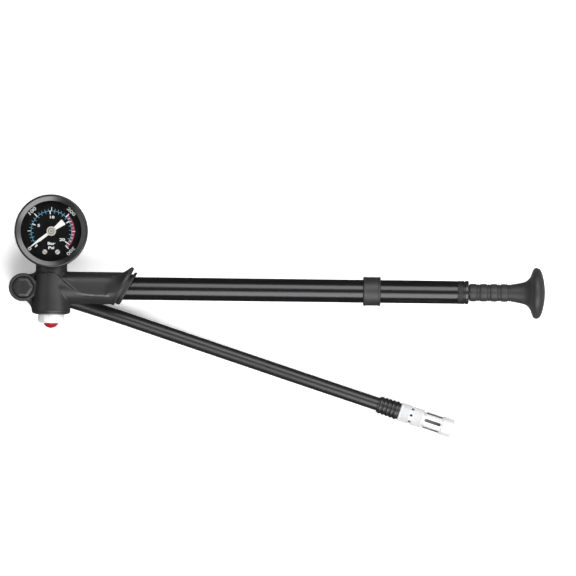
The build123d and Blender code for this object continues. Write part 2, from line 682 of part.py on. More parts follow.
PIECES = [
    head_body,
    gauge_case, gauge_bezel, gauge_lens, lens_gasket, gauge_dial, dial_screws, gauge_stem, stem_washer,
    bourdon_tube, tube_tip, movement_base, movement_bridge, pinion_arbor, sector_gear, sector_arbor,
    movement_link, pointer, pointer_hub,
    barrel_tube, barrel_o_ring, barrel_end_cap, rod_bush, piston, piston_seal, piston_rod, handle_core,
    palm_grip, hose_clip,
    valve_seat, check_poppet, check_spring,
    bleed_nut, bleed_button, bleed_stem, bleed_seal, bleed_spring,
    swivel_bolt, bolt_o_rings, swivel_circlip, swivel_fitting,
    hose, chuck_ferrule, chuck_stem, stem_o_ring, valve_pin, grip_collar, seal_carrier, valve_gasket,
    valve_sleeve,
]

os.makedirs("parts", exist_ok=True)
for piece in PIECES:
    export_step(PLACE * piece(), f"parts/{piece.__name__}.step")
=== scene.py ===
import bmesh
import bpy
import json
import math
from mathutils import Matrix, Vector


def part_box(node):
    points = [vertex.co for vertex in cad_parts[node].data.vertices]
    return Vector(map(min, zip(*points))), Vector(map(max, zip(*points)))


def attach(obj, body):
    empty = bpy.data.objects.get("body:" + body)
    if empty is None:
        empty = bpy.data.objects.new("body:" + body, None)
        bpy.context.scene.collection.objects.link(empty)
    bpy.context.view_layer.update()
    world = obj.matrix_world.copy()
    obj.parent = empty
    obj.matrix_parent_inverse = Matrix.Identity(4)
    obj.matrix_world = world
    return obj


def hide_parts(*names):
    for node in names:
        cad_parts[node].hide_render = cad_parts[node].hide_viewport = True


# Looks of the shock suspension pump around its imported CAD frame. Lengths below are millimetres in the
# pump's own axes: x along the barrel from the head to the handle, y from the bleed button to the gauge,
# z out of the gauge's face, zero where the barrel's axis crosses the column's. at() gives row-frame metres.

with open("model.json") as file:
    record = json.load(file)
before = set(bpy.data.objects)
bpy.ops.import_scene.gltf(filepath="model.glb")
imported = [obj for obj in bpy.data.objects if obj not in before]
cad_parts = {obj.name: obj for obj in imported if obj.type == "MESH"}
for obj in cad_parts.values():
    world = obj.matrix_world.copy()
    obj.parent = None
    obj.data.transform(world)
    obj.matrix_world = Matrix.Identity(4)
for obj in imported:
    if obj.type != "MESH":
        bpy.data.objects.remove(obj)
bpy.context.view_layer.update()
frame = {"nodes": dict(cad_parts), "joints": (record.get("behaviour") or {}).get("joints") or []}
MM = 0.001                     # metres in a millimetre


def middle(node):
    low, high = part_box(node)
    return (low + high) / 2


def spread(node):
    """Size of a CAD node along each axis, in millimetres."""
    low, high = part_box(node)
    return (high - low) / MM


ORIGIN = Vector((middle("bleed_nut").x, middle("barrel_tube").y, middle("barrel_tube").z))


def at(x=0.0, y=0.0, z=0.0):
    return ORIGIN + Vector((x, y, z)) * MM


def station(node, axis):
    """Lowest and highest place of a CAD node along one of the pump's axes, in millimetres."""
    low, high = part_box(node)
    return (low[axis] - ORIGIN[axis]) / MM, (high[axis] - ORIGIN[axis]) / MM


def facing(direction, up=(0, 0, 1)):
    """Rotation that turns local Z to the direction and local X to up."""
    z = Vector(direction).normalized()
    x = Vector(up).normalized()
    return Matrix((x, z.cross(x), z)).transposed().to_4x4()


# ---- places taken from the frame ----------------------------------------------------------------
HEAD_BACK_Z = station("head_body", 2)[0]
CUP_Y = station("head_body", 1)[0]
GAUGE_Y = (middle("gauge_bezel").y - ORIGIN.y) / MM
BOSS_X = (middle("swivel_bolt").x - ORIGIN.x) / MM
BARREL_R = spread("barrel_tube").y / 2
BARREL_X0, BARREL_X1 = station("barrel_tube", 0)
HANDLE_X, GRIP_END_X = station("palm_grip", 0)
GRIP_R = spread("palm_grip").y / 2
BEZEL_Z = station("gauge_bezel", 2)[1]
LENS_Z = station("gauge_lens", 2)[1]
DIAL_Z = station("gauge_dial", 2)[1]
NUT_Y = station("bleed_nut", 1)[0]
BUTTON_Y = station("bleed_button", 1)[0]

# Route of the hose, the same points as the CAD tube's. It starts at the end of the swivel's neck.
HOSE_R = 4.5
NECK_LENGTH = 12.0
HOSE_Z = -15.0                 # level of the swivel and of the chuck
HOSE_ROUTE = [
    (30.0, -14.1, HOSE_Z),
    (80.0, -30.5, -16.85),
    (135.0, -48.37, -16.9),
    (185.0, -64.62, HOSE_Z),
    (222.0, -76.5, HOSE_Z),
]
NECK_HEADING = Vector((HOSE_ROUTE[0][0] - BOSS_X, HOSE_ROUTE[0][1], 0)).normalized()
HOSE_START = Vector((BOSS_X, 0, HOSE_Z)) + NECK_HEADING * NECK_LENGTH
CHUCK_START = Vector(HOSE_ROUTE[-1])
CHUCK_HEADING = Vector(next(j["axis"] for j in frame["joints"] if j["name"] == "chuck_spin"))


# ---- camera and light ---------------------------------------------------------------------------
CAMERA_HEIGHT = 4.0            # metres above the barrel's axis
VIEW_CENTRE = (160.0, 1.6)     # x and y in the pump's own axes
VIEW_ROLL = 0.7                # degrees
VIEW_WIDTH = 0.3894            # metres across the picture
SENSOR_WIDTH = 36              # millimetres


def add_camera():
    camera = bpy.data.objects.new("camera", bpy.data.cameras.new("camera"))
    camera.data.sensor_width = SENSOR_WIDTH
    camera.data.lens = SENSOR_WIDTH * CAMERA_HEIGHT / VIEW_WIDTH
    camera.location = at(*VIEW_CENTRE) + Vector((0, 0, CAMERA_HEIGHT))
    camera.rotation_euler = (0, 0, math.radians(VIEW_ROLL))
    bpy.context.scene.collection.objects.link(camera)
    bpy.context.scene.camera = camera


def softbox(name, tilt, turn, size, distance, power, shift=0.0):
    """Soft rectangular light that faces the pump. Tilt is from straight up and turn from +X, in degrees; size,
    distance and shift, which is towards the handle, are metres; power is watts."""
    light = bpy.data.lights.new(name, "AREA")
    light.shape = "RECTANGLE"
    light.size, light.size_y = size
    light.energy = power
    lamp = bpy.data.objects.new(name, light)
    t, a = math.radians(tilt), math.radians(turn)
    away = Vector((math.sin(t) * math.cos(a), math.sin(t) * math.sin(a), math.cos(t)))
    lengthwise = Vector((-math.sin(a), math.cos(a), 0))
    centre = at(*VIEW_CENTRE) + away * distance + Vector((shift, 0, 0))
    lamp.matrix_world = Matrix.Translation(centre) @ facing(away, lengthwise)
    lamp.visible_camera = False
    bpy.context.scene.collection.objects.link(lamp)


def add_lights():
    """Two long softboxes beside the barrel, two weak ones beyond its ends and a dim surround."""
    softbox("upper_softbox", 36, 90, (1.6, 0.72), 1.15, 16.5, 0.5)
    softbox("lower_softbox", 41, -90, (1.6, 0.9), 1.15, 25, 0.5)
    softbox("end_softbox", 48, 0, (0.9, 0.55), 1.25, 2.6)
    softbox("fill_softbox", 55, 180, (1.2, 0.9), 1.25, 2.8)
    world = bpy.data.worlds.new("studio")
    world.use_nodes = True
    surround = world.node_tree.nodes["Background"]
    surround.inputs["Color"].default_value = (0.93, 0.95, 1.0, 1)
    surround.inputs["Strength"].default_value = 0.08
    bpy.context.scene.world = world
    bpy.context.scene.view_settings.view_transform = "Standard"


def staged(name, mesh, base, specular, glow, strength):
    """A piece of the studio round the pump, in one even paint that may glow."""
    paint = bpy.data.materials.new(name + "_paint")
    paint.use_nodes = True
    shader = paint.node_tree.nodes["Principled BSDF"]
    shader.inputs["Base Color"].default_value = (*base, 1)
    shader.inputs["Roughness"].default_value = 0.9
    shader.inputs["Specular IOR Level"].default_value = specular
    shader.inputs["Emission Color"].default_value = (*glow, 1)
    shader.inputs["Emission Strength"].default_value = strength
    mesh.materials.append(paint)
    made = bpy.data.objects.new(name, mesh)
    bpy.context.scene.collection.objects.link(made)
    return made


def add_floor():
    """White floor with a faint glow, as on a light table, so that shadows stay pale."""
    side = 6.0
    mesh = bpy.data.meshes.new("floor")
    mesh.from_pydata([(-side, -side, 0), (side, -side, 0), (side, side, 0), (-side, side, 0)], [], [(0, 1, 2, 3)])
    floor = staged("floor", mesh, (0.94, 0.94, 0.94), 0.1, (1, 1, 1), 0.3)
    floor.visible_glossy = False


def add_backdrop():
    """Pale dome behind the object in the low views. Only the camera sees it, so it sends no light."""
    work = bmesh.new()
    bmesh.ops.create_icosphere(work, subdivisions=4, radius=9.0)
    mesh = bpy.data.meshes.new("backdrop")
    work.to_mesh(mesh)
    work.free()
    dome = staged("backdrop", mesh, (0, 0, 0), 0, (0.88, 0.89, 0.9), 1)
    for ray in ("diffuse", "glossy", "transmission", "shadow", "volume_scatter"):
        setattr(dome, "visible_" + ray, False)


# ---- materials ----------------------------------------------------------------------------------
class Nodes:
    """Short way to add and join the shader nodes of one material."""

    def __init__(self, name):
        self.material = bpy.data.materials.new(name)
        self.material.use_nodes = True
        self.tree = self.material.node_tree
        self.shader = self.tree.nodes["Principled BSDF"]

    def add(self, kind, **values):
        node = self.tree.nodes.new(kind)
        for key, value in values.items():
            setattr(node, key, value)
        return node

    def join(self, source, target):
        self.tree.links.new(source, target)

    def maths(self, operation, first, second):
        node = self.add("ShaderNodeMath", operation=operation)
        for socket, value in zip(node.inputs, (first, second)):
            if isinstance(value, (int, float)):
                socket.default_value = value
            else:
                self.join(value, socket)
        return node.outputs[0]

    def spread(self, source, low, high, from_low=0.3, from_high=0.7):
        node = self.add("ShaderNodeMapRange")
        self.join(source, node.inputs["Value"])
        node.inputs["From Min"].default_value = from_low
        node.inputs["From Max"].default_value = from_high
        node.inputs["To Min"].default_value = low
        node.inputs["To Max"].default_value = high
        return node.outputs["Result"]

    def coordinates(self, stretch, turned):
        """Object coordinates, stretched, or for lathe marks (distance from local Z, place along it)."""
        source = self.add("ShaderNodeTexCoord").outputs["Object"]
        if turned:
            flat = self.add("ShaderNodeVectorMath", operation="MULTIPLY")
            self.join(source, flat.inputs[0])
            flat.inputs[1].default_value = (1, 1, 0)
            length = self.add("ShaderNodeVectorMath", operation="LENGTH")
            self.join(flat.outputs[0], length.inputs[0])
            parts = self.add("ShaderNodeSeparateXYZ")
            self.join(source, parts.inputs[0])
            combined = self.add("ShaderNodeCombineXYZ")
            self.join(length.outputs["Value"], combined.inputs["X"])
            self.join(parts.outputs["Z"], combined.inputs["Y"])
            return combined.outputs[0]
        scaled = self.add("ShaderNodeMapping")
        scaled.inputs["Scale"].default_value = stretch
        self.join(source, scaled.inputs["Vector"])
        return scaled.outputs["Vector"]

    def noise(self, vector, scale, detail=3.0):
        node = self.add("ShaderNodeTexNoise")
        node.inputs["Scale"].default_value = scale
        node.inputs["Detail"].default_value = detail
        self.join(vector, node.inputs["Vector"])
        return node.outputs["Fac"]

    def tint(self, factor, first, second):
        node = self.add("ShaderNodeMix", data_type="RGBA")
        self.join(factor, node.inputs["Factor"])
        for socket, colour in ((node.inputs[6], first), (node.inputs[7], second)):
            if isinstance(colour, tuple):
                socket.default_value = (*colour, 1)
            else:
                self.join(colour, socket)
        return node.outputs[2]


def shade(colour, amount):
    """The colour made lighter or darker, no lighter than white."""
    return tuple(min(1.0, channel * amount) for channel in colour)


CLOUD_SCALE = 90               # noise scales, in features per metre
SPECK_SCALE = 1400
STREAK_SCALE = 260


def surface(name, colour, roughness, metallic=0.0, specular=0.5, mottle=0.12, grain=0.01, grain_scale=2500,
            stretch=(1, 1, 1), turned=False, wear_and_highlight=None, wear_and_highlight_from=0.53, coat=0.0, sheen=0.0):
    """Procedural finish: cloudy colour and roughness, a fine grain in millimetres, and convex edges painted
    lighter: wear, and on the head's plastic also a painted highlight.
    """
    nodes = Nodes(name)
    shader = nodes.shader
    even = nodes.coordinates((1, 1, 1), False)
    directed = nodes.coordinates(stretch, turned)
    clouds = nodes.noise(even, CLOUD_SCALE)
    specks = nodes.noise(even, SPECK_SCALE, 1.0)
    base = nodes.tint(nodes.spread(clouds, 0, 1), shade(colour, 1 - mottle), shade(colour, 1 + mottle))
    base = nodes.tint(nodes.spread(specks, 0, 0.35, 0.55, 0.8), base, shade(colour, 1 + 2.5 * mottle))
    rough = nodes.spread(nodes.noise(directed, STREAK_SCALE), roughness * 0.9, min(1.0, roughness * 1.12))
    # Convex edges painted lighter: wear on every finish, and on the head's plastic also a painted highlight.
    if wear_and_highlight:
        edges = nodes.add("ShaderNodeNewGeometry").outputs["Pointiness"]
        worn_and_lit_edges = nodes.spread(edges, 0, 1, wear_and_highlight_from, wear_and_highlight_from + 0.08)
        broken = nodes.maths("MULTIPLY", worn_and_lit_edges, nodes.spread(clouds, 0.15, 0.9))
        base = nodes.tint(broken, base, wear_and_highlight)
    nodes.join(base, shader.inputs["Base Color"])
    nodes.join(rough, shader.inputs["Roughness"])
    bump = nodes.add("ShaderNodeBump")
    bump.inputs["Distance"].default_value = grain * MM
    bump.inputs["Strength"].default_value = 1.0
    nodes.join(nodes.noise(directed, grain_scale, 2.0), bump.inputs["Height"])
    nodes.join(bump.outputs["Normal"], shader.inputs["Normal"])
    shader.inputs["Metallic"].default_value = metallic
    shader.inputs["Specular IOR Level"].default_value = specular
    shader.inputs["Coat Weight"].default_value = coat
    shader.inputs["Coat Roughness"].default_value = 0.15
    shader.inputs["Sheen Weight"].default_value = sheen
    return nodes.material


def lens_material():
    """Clear gauge window: mostly see-through, glossier at a slant."""
    nodes = Nodes("lens")
    nodes.tree.nodes.remove(nodes.shader)
    clear = nodes.add("ShaderNodeBsdfTransparent")
    gloss = nodes.add("ShaderNodeBsdfGlossy")
    haze = nodes.noise(nodes.coordinates((1, 1, 1), False), 600)
    nodes.join(nodes.spread(haze, 0.03, 0.06), gloss.inputs["Roughness"])
    fresnel = nodes.add("ShaderNodeFresnel")
    fresnel.inputs["IOR"].default_value = 1.3
    mix = nodes.add("ShaderNodeMixShader")
    nodes.join(fresnel.outputs[0], mix.inputs[0])
    nodes.join(clear.outputs[0], mix.inputs[1])
    nodes.join(gloss.outputs[0], mix.inputs[2])
    nodes.join(mix.outputs[0], nodes.tree.nodes["Material Output"].inputs["Surface"])
    return nodes.material


# Every finish but the window's, as surface() takes it.
FINISHES = {
    # The head's convex edges are painted much lighter: partly wear, partly a painted highlight along its creases.
    "head_plastic": dict(colour=(0.016, 0.016, 0.0165), roughness=0.42, specular=0.42, grain=0.012,
                         grain_scale=3200, wear_and_highlight=(0.09, 0.09, 0.09), wear_and_highlight_from=0.51),
    # Painted highlight: a lighter, glossier black laid on the ridge along the head's crease.
    "ridge_highlight_plastic": dict(colour=(0.06, 0.06, 0.061), roughness=0.26, specular=0.6, grain=0.004,
                           grain_scale=3200),
    "case_metal": dict(colour=(0.009, 0.009, 0.0095), roughness=0.36, grain=0.006, wear_and_highlight=(0.03, 0.03, 0.03)),
    "bezel_metal": dict(colour=(0.012, 0.0125, 0.012), roughness=0.26, specular=0.8, grain=0.004,
                        grain_scale=5000, turned=True, mottle=0.2),
    "bezel_rim": dict(colour=(0.007, 0.007, 0.0075), roughness=0.3, grain=0.004, turned=True),
    "dial_face": dict(colour=(0.0018, 0.002, 0.0023), roughness=0.6, specular=0.1, grain=0.004),
    "print_white": dict(colour=(0.8, 0.82, 0.82), roughness=0.55, grain=0.002, mottle=0.05),
    "print_blue": dict(colour=(0.1, 0.33, 0.45), roughness=0.55, grain=0.002, mottle=0.08),
    "print_red": dict(colour=(0.3, 0.04, 0.08), roughness=0.55, grain=0.002, mottle=0.08),
    "pointer_white": dict(colour=(0.9, 0.9, 0.88), roughness=0.4, grain=0.003, mottle=0.03),
    "hub_ivory": dict(colour=(0.6, 0.59, 0.54), roughness=0.35, grain=0.003, mottle=0.06),
    "brass_parts": dict(colour=(0.66, 0.46, 0.17), roughness=0.3, metallic=1.0, grain=0.004, mottle=0.15),
    "bronze_tube": dict(colour=(0.52, 0.3, 0.12), roughness=0.32, metallic=1.0, grain=0.004, mottle=0.18),
    "steel_parts": dict(colour=(0.55, 0.55, 0.56), roughness=0.3, metallic=1.0, grain=0.003, mottle=0.1),
    "rod_steel": dict(colour=(0.7, 0.7, 0.72), roughness=0.14, metallic=1.0, grain=0.0015,
                      stretch=(1, 1, 0.02)),
    "piston_alloy": dict(colour=(0.72, 0.72, 0.73), roughness=0.34, metallic=1.0, grain=0.004),
    "barrel_black": dict(colour=(0.0045, 0.0045, 0.0048), roughness=0.23, grain=0.0025, grain_scale=3000,
                         stretch=(1, 1, 0.015), mottle=0.2),
    "cap_black": dict(colour=(0.012, 0.012, 0.0125), roughness=0.26, grain=0.004, wear_and_highlight=(0.05, 0.05, 0.05)),
    "bush_plastic": dict(colour=(0.55, 0.54, 0.5), roughness=0.5, grain=0.006),
    "core_plastic": dict(colour=(0.03, 0.03, 0.03), roughness=0.5, grain=0.01),
    "grip_rubber": dict(colour=(0.018, 0.018, 0.0185), roughness=0.5, grain=0.02, grain_scale=2600,
                        specular=0.42, sheen=0.05),
    "clip_plastic": dict(colour=(0.018, 0.018, 0.019), roughness=0.5, grain=0.016, grain_scale=2600),
    "chrome_plate": dict(colour=(0.9, 0.9, 0.905), roughness=0.34, metallic=0.3, grain=0.002, mottle=0.03),
    # Painted shade: a darker grey for the hub's groove and dimple and for the screws' slots.
    "groove_shade": dict(colour=(0.16, 0.155, 0.14), roughness=0.5, grain=0.003, mottle=0.1),
    "satin_nickel": dict(colour=(0.62, 0.62, 0.625), roughness=0.4, metallic=0.25, specular=0.3, grain=0.002,
                         mottle=0.05),
    # Painted shade: a dark finish on the chuck's flute floors and vent walls.
    "recess_shade": dict(colour=(0.06, 0.06, 0.062), roughness=0.4, metallic=0.5, grain=0.003, mottle=0.15),
    "red_plastic": dict(colour=(0.3, 0.006, 0.008), roughness=0.2, grain=0.002, coat=0.5, mottle=0.08),
    "bolt_black": dict(colour=(0.012, 0.012, 0.0125), roughness=0.4, grain=0.006, wear_and_highlight=(0.05, 0.05, 0.05)),
    "fitting_black": dict(colour=(0.01, 0.01, 0.0105), roughness=0.35, grain=0.005, wear_and_highlight=(0.04, 0.04, 0.04)),
    "black_rubber": dict(colour=(0.01, 0.01, 0.01), roughness=0.6, grain=0.01),
    "hose_rubber": dict(colour=(0.0105, 0.0105, 0.011), roughness=0.34, grain=0.006, grain_scale=2200),
    "ferrule_rubber": dict(colour=(0.012, 0.012, 0.0125), roughness=0.34, grain=0.012),
}


def make_materials():
    made = {name: surface(name, **finish) for name, finish in FINISHES.items()}
    made["lens"] = lens_material()
    return made


# ---- mesh helpers -------------------------------------------------------------------------------
def rounded(points, fillet, closed=False, bits=4):
    """Outline with every corner eased. A third number in a point is that corner's own fillet."""
    made = []
    for i, point in enumerate(points):
        here = Vector(point[:2])
        size = point[2] if len(point) > 2 else fillet
        cut = 0
        if closed or 0 < i < len(points) - 1:
            before = Vector(points[i - 1][:2]) - here
            after = Vector(points[(i + 1) % len(points)][:2]) - here
            turn = math.pi - before.angle(after)
            cut = min(size * math.tan(turn / 2), 0.48 * before.length, 0.48 * after.length)
        if cut < 0.005:
            made.append(tuple(here))
            continue
        start = here + before.normalized() * cut
        end = here + after.normalized() * cut
        for k in range(bits + 1):
            t = k / bits
            made.append(tuple(start * (1 - t) ** 2 + here * (2 * t * (1 - t)) + end * t ** 2))
    return made


def smooth_curve(points, steps=8):
    """Points of a Catmull-Rom curve through the given points."""
    padded = [points[0], *points, points[-1]]
    made = []
    for a, b, c, d in zip(padded, padded[1:], padded[2:], padded[3:]):
        a, b, c, d = Vector(a), Vector(b), Vector(c), Vector(d)
        for k in range(steps):
            t = k / steps
            made.append(tuple(0.5 * (2 * b + (c - a) * t + (2 * a - 5 * b + 4 * c - d) * t ** 2
                                     + (3 * b - a - 3 * c + d) * t ** 3)))
    return made + [tuple(points[-1])]


def finish_mesh(mesh, sharp=38):
    """Smooth shading with edges kept sharp above an angle in degrees."""
    mesh.validate()
    mesh.shade_smooth()
    mesh.set_sharp_from_angle(angle=math.radians(sharp))


def turned(name, profile, steps=128, closed=True, shape=None):
    """Mesh turned about local Z from (place, radius) points; shape(angle, place, radius) may change a radius."""
    verts, rings, faces = [], [], []
    for place, radius in profile:
        if radius < 0.001:
            rings.append([len(verts)] * steps)
            verts.append((0, 0, place * MM))
            continue
        rings.append(list(range(len(verts), len(verts) + steps)))
        for k in range(steps):
            angle = 2 * math.pi * k / steps
            r = shape(angle, place, radius) if shape else radius
            verts.append((r * math.cos(angle) * MM, r * math.sin(angle) * MM, place * MM))
    pairs = list(zip(rings, rings[1:]))
    if closed:
        pairs.append((rings[-1], rings[0]))
    for first, second in pairs:
        for k in range(steps):
            n = (k + 1) % steps
            corners = [first[k], first[n], second[n], second[k]]
            faces.append(list(dict.fromkeys(corners)))
    mesh = bpy.data.meshes.new(name)
    mesh.from_pydata(verts, [], [f for f in faces if len(f) > 2])
    work = bmesh.new()
    work.from_mesh(mesh)
    bmesh.ops.recalc_face_normals(work, faces=work.faces)
    work.to_mesh(mesh)
    work.free()
    finish_mesh(mesh)
    return mesh


def second_finish(mesh, material, chosen):
    """Another finish on the faces whose centres, in the mesh's own millimetres, are chosen."""
    mesh.materials.append(MATERIALS[material])
    for face in mesh.polygons:
        if chosen(*(face.center / MM)):
            face.material_index = 1


def piece(name, mesh, material, body, replaced=(), place=Matrix.Identity(4)):
    """A visible piece: placed in the row frame, riding on its body and standing for its CAD nodes."""
    made = bpy.data.objects.new(name, mesh)
    bpy.context.scene.collection.objects.link(made)
    made.matrix_world = place
    mesh.materials.append(MATERIALS[material])
    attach(made, body)
    if replaced:
        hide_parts(*replaced)
    return made


def along_barrel():
    return Matrix.Translation(at()) @ facing((1, 0, 0))


def along_column():
    return Matrix.Translation(at()) @ facing((0, 1, 0))


def at_gauge():
    return Matrix.Translation(at(0, GAUGE_Y))


def along_chuck():
    return Matrix.Translation(at(*CHUCK_START)) @ facing(CHUCK_HEADING)


def with_modifier(name, mesh, kind, **values):
    """Result of one modifier on a mesh, as a new mesh."""
    holder = bpy.data.objects.new(name, mesh)
    bpy.context.scene.collection.objects.link(holder)
    modifier = holder.modifiers.new(kind, kind)
    for key, value in values.items():
        setattr(modifier, key, value)
    bpy.context.view_layer.update()
    made = bpy.data.meshes.new_from_object(holder.evaluated_get(bpy.context.evaluated_depsgraph_get()))
    bpy.data.objects.remove(holder)
    made.name = name
    return made


def cut_away(name, mesh, work, sharp=38):
    """The mesh less the solid that a bmesh holds, which is used up."""
    cutter_mesh = bpy.data.meshes.new(name + "_cutter")
    work.to_mesh(cutter_mesh)
    work.free()
    cutter = bpy.data.objects.new(name + "_cutter", cutter_mesh)
    bpy.context.scene.collection.objects.link(cutter)
    made = with_modifier(name, mesh, "BOOLEAN", object=cutter, operation="DIFFERENCE", solver="EXACT")
    bpy.data.objects.remove(cutter)
    finish_mesh(made, sharp)
    return made


def add_drill(work, radius, depth, segments, place):
    """Adds a drill's cylinder to a bmesh, centred at a place and along its Z."""
    bmesh.ops.create_cone(work, cap_ends=True, segments=segments, radius1=radius * MM, radius2=radius * MM,
                          depth=depth * MM, matrix=place)


def softened(node, voxel, rounds):
    """Copy of a CAD node with moulded, rolled edges: remeshed in voxels of that size, then smoothed."""
    mesh = frame["nodes"][node].data.copy()
    mesh.materials.clear()
    work = bmesh.new()
    work.from_mesh(mesh)
    bmesh.ops.remove_doubles(work, verts=work.verts, dist=0.002 * MM)
    work.to_mesh(mesh)
    work.free()
    mesh = with_modifier(node, mesh, "REMESH", mode="VOXEL", voxel_size=voxel * MM)
    mesh = with_modifier(node, mesh, "SMOOTH", factor=0.5, iterations=rounds)
    mesh.shade_smooth()
    return mesh


def repaint(node, material):
    """A CAD node keeps its shape and takes a finished material."""
    mesh = frame["nodes"][node].data
    mesh.materials.clear()
    mesh.materials.append(MATERIALS[material])
    mesh.shade_smooth()
    mesh.set_sharp_from_angle(angle=math.radians(30))


# ---- hose ---------------------------------------------------------------------------------------
def add_hose():
    curve = bpy.data.curves.new("hose_line", "CURVE")
    curve.dimensions = "3D"
    curve.bevel_depth = HOSE_R * MM
    curve.bevel_resolution = 12
    curve.resolution_u = 24
    curve.use_fill_caps = True
    spline = curve.splines.new("NURBS")
    points = [HOSE_START] + [Vector(p) for p in HOSE_ROUTE]
    spline.points.add(len(points) - 1)
    for control, point in zip(spline.points, points):
        control.co = (*at(*point), 1)
    spline.order_u = 3
    spline.use_endpoint_u = True
    curve.materials.append(MATERIALS["hose_rubber"])
    hose = bpy.data.objects.new("air_hose", curve)
    bpy.context.scene.collection.objects.link(hose)
    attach(hose, "hose_arm")
    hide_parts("hose")
    return hose


def triangle_wave(x):
    """1 at whole numbers, 0 half-way between them."""
    return abs(2 * (x % 1) - 1)


def diamond_knurl(bands, crest, count, depth):
    """Radius function with rows of small pyramids inside the given (start, end) bands."""
    pitch = 2 * math.pi * crest / count

    def shape(angle, place, radius):
        if radius < crest - 0.01 or not any(a <= place <= b for a, b in bands):
            return radius
        u = angle / (2 * math.pi) * count
        v = place / pitch
        return radius - depth * (1 - min(triangle_wave(u + v), triangle_wave(u - v)))

    return shape, pitch


def band_rows(start, end, radius, pitch):
    """Profile points every quarter pitch along a band."""
    first = math.ceil(start / pitch * 4)
    last = math.floor(end / pitch * 4)
    return [(k * pitch / 4, radius) for k in range(first, last + 1)]


def add_ferrule():
    """Ribbed strain relief at the end of the hose."""
    end, bore, ribs, pitch, rib_height = 15.2, 2.6, 5, 2.75, 0.55
    points = [(0.0, bore), (0.0, 5.3), (0.4, 5.6)]
    for k in range(ribs):
        x = 0.9 + k * pitch
        crest = 5.9 + 0.07 * k
        points += [(x, crest - rib_height), (x + 0.4, crest), (x + 1.75, crest), (x + 2.15, crest - rib_height)]
    points += [(end, 5.7), (end, bore)]
    mesh = turned("strain_relief", rounded(points, 0.3, True), 96)
    return piece("strain_relief", mesh, "ferrule_rubber", "hose_arm", ["chuck_ferrule"], along_chuck())


def add_collar():
    """Knurled collar with a ring of eight vent holes in its groove."""
    crest, count, knurl_depth = 6.4, 44, 0.36
    bands = [(16.3, 22.1), (25.1, 30.9)]
    groove_r, bore, inner_bore = 6.0, 5.27, 3.25
    vents, vent_r, vent_z = 8, 0.92, 23.6
    shape, pitch = diamond_knurl(bands, crest, count, knurl_depth)
    lead_in = rounded([(15.35, inner_bore), (15.35, 5.9), (15.9, crest), (16.2, crest)], 0.2)
    groove = rounded([(22.2, crest), (22.4, crest), (22.75, groove_r), (24.45, groove_r), (24.8, crest),
                      (25.0, crest)], 0.15)
    lead_out = rounded([(31.0, crest), (31.25, crest), (31.8, 5.9), (31.8, bore), (24.1, bore), (21.9, 4.4),
                        (21.9, inner_bore)], 0.15)
    profile = lead_in + band_rows(*bands[0], crest, pitch) + groove + band_rows(*bands[1], crest, pitch) + lead_out
    mesh = turned("knurled_collar", profile, count * 4, True, shape)
    drill = bmesh.new()
    for k in range(vents):
        turn = Matrix.Rotation(2 * math.pi * k / vents, 4, "Z")
        place = turn @ Matrix.Translation((5.9 * MM, 0, vent_z * MM)) @ Matrix.Rotation(math.pi / 2, 4, "Y")
        add_drill(drill, vent_r, 3, 24, place)
    mesh = cut_away("knurled_collar", mesh, drill, 32)
    made = piece("knurled_collar", mesh, "satin_nickel", "collar", ["grip_collar"], along_chuck())

    def in_vent(x, y, z):
        step = 2 * math.pi / vents
        off = (math.atan2(y, x) + step / 2) % step - step / 2
        out = math.hypot(x, y)
        return math.hypot(z - vent_z, out * math.sin(off)) < vent_r + 0.01 and out < groove_r - 0.01

    # Painted shade on the vent holes' walls.
    second_finish(mesh, "recess_shade", in_vent)
    return made


def add_valve_sleeve():
    """Threaded sleeve: a plain skirt, six long flutes and a smooth end ring."""
    bore, skirt_bore, skirt_r, flute_r, ring_r = 3.85, 4.2, 5.2, 5.8, 6.35
    start, end, cutter_r, cutter_at, lead = 33.3, 44.7, 1.0, 5.95, 0.3

    def shape(angle, place, radius):
        inside = min(place - start, end - place)
        if radius < 5.3 or inside <= 0:
            return radius
        depth = cutter_r * math.sqrt(1 - max(0.0, 1 - inside / lead) ** 2)
        off = abs((angle + math.pi / 6) % (math.pi / 3) - math.pi / 6)
        side = cutter_at * math.sin(off)
        if side >= depth:
            return radius
        return min(radius, cutter_at * math.cos(off) - math.sqrt(depth ** 2 - side ** 2))

    skirt = rounded([(27.4, skirt_bore), (27.4, skirt_r), (33.1, skirt_r), (33.1, 5.7), (33.2, flute_r),
                     (33.25, flute_r)], 0.04)
    leads = [0.02, 0.06, 0.12, 0.2, lead]
    fluted = ([(start + s, flute_r) for s in leads] + [(39.1, flute_r)]
              + [(end - s, flute_r) for s in reversed(leads)])
    ring = rounded([(44.72, flute_r), (44.8, flute_r), (45.15, ring_r - 0.5), (45.75, ring_r), (52.4, ring_r),
                    (53.4, ring_r - 0.9), (53.4, 4.3)], 0.25)
    inside = [(52.8, bore), (45.5, bore), (45.5, skirt_bore), (27.4, skirt_bore)]
    mesh = turned("threaded_sleeve", skirt + fluted + ring + inside, 240, True, shape)
    made = piece("threaded_sleeve", mesh, "satin_nickel", "sleeve", ["valve_sleeve"], along_chuck())
    # Painted shade on the flutes' floors.
    second_finish(mesh, "recess_shade", lambda x, y, z: (start + 0.2 < z < end - 0.2
                                                        and 4.3 < math.hypot(x, y) < flute_r - 0.12))
    return made


